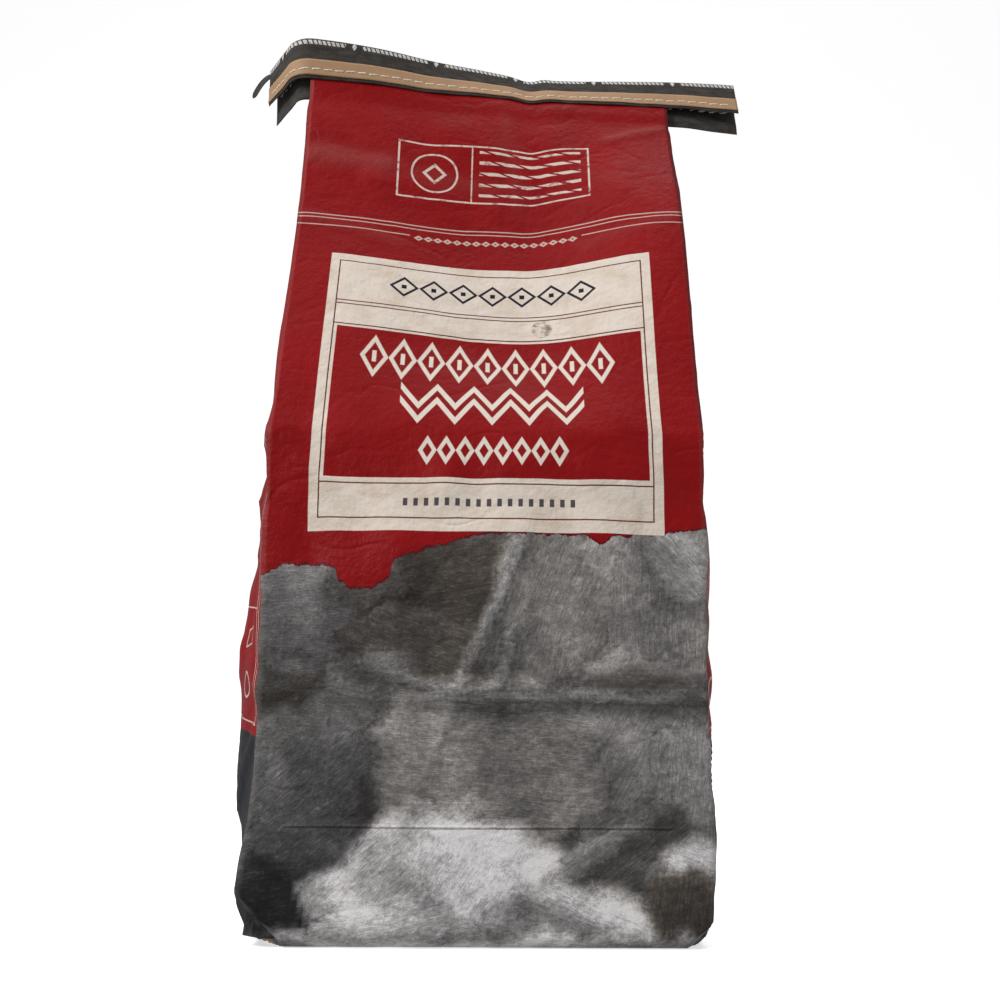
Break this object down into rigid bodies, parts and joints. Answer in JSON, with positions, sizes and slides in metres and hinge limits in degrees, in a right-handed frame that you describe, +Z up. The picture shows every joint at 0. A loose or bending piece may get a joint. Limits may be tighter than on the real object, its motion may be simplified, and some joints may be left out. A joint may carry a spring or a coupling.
{
  "type": "sewn paper charcoal sack",
  "caption": "Gusseted block-bottom paper sack of lump charcoal, its mouth sewn shut under a folded crepe tape with a pull strip and bent tape tail.",
  "frame": {"origin": "centre of the sack's flat base, on the surface it stands on", "axes": "+Z up through the sewn mouth, -Y out of the printed front panel, +X to the right as the front is seen"},
  "size_m": [0.3442, 0.145, 0.5898],
  "materials": {
    "printed_paper": "satin",
    "kraft_paper": "matte",
    "crepe_paper": "matte",
    "tan_paper": "matte",
    "cotton_thread": "matte",
    "charcoal": "matte"
  },
  "bodies": {
    "root": {"outer_ply": "printed_paper", "inner_ply": "kraft_paper", "binding_tape": "crepe_paper", "pull_strip": "tan_paper", "needle_thread": "cotton_thread", "looper_thread": "cotton_thread", "charcoal_lump_01": "charcoal", "charcoal_lump_02": "charcoal", "charcoal_lump_03": "charcoal", "charcoal_lump_04": "charcoal", "charcoal_lump_05": "charcoal", "charcoal_lump_06": "charcoal", "charcoal_lump_07": "charcoal", "charcoal_lump_08": "charcoal", "charcoal_lump_09": "charcoal", "charcoal_lump_10": "charcoal", "charcoal_lump_11": "charcoal", "charcoal_lump_12": "charcoal", "charcoal_lump_13": "charcoal", "charcoal_lump_14": "charcoal", "charcoal_lump_15": "charcoal", "charcoal_lump_16": "charcoal", "charcoal_lump_17": "charcoal", "charcoal_lump_18": "charcoal", "charcoal_lump_19": "charcoal", "charcoal_lump_20": "charcoal", "charcoal_lump_21": "charcoal", "charcoal_lump_22": "charcoal", "charcoal_lump_23": "charcoal", "charcoal_lump_24": "charcoal", "charcoal_lump_25": "charcoal", "charcoal_lump_26": "charcoal", "charcoal_lump_27": "charcoal", "charcoal_lump_28": "charcoal", "charcoal_lump_29": "charcoal", "charcoal_lump_30": "charcoal", "charcoal_lump_31": "charcoal", "charcoal_lump_32": "charcoal", "charcoal_lump_33": "charcoal", "charcoal_lump_34": "charcoal", "charcoal_lump_35": "charcoal", "charcoal_lump_36": "charcoal", "charcoal_lump_37": "charcoal", "charcoal_lump_38": "charcoal", "charcoal_lump_39": "charcoal", "charcoal_lump_40": "charcoal", "charcoal_lump_41": "charcoal", "charcoal_lump_42": "charcoal"}
  },
  "joints": []
}
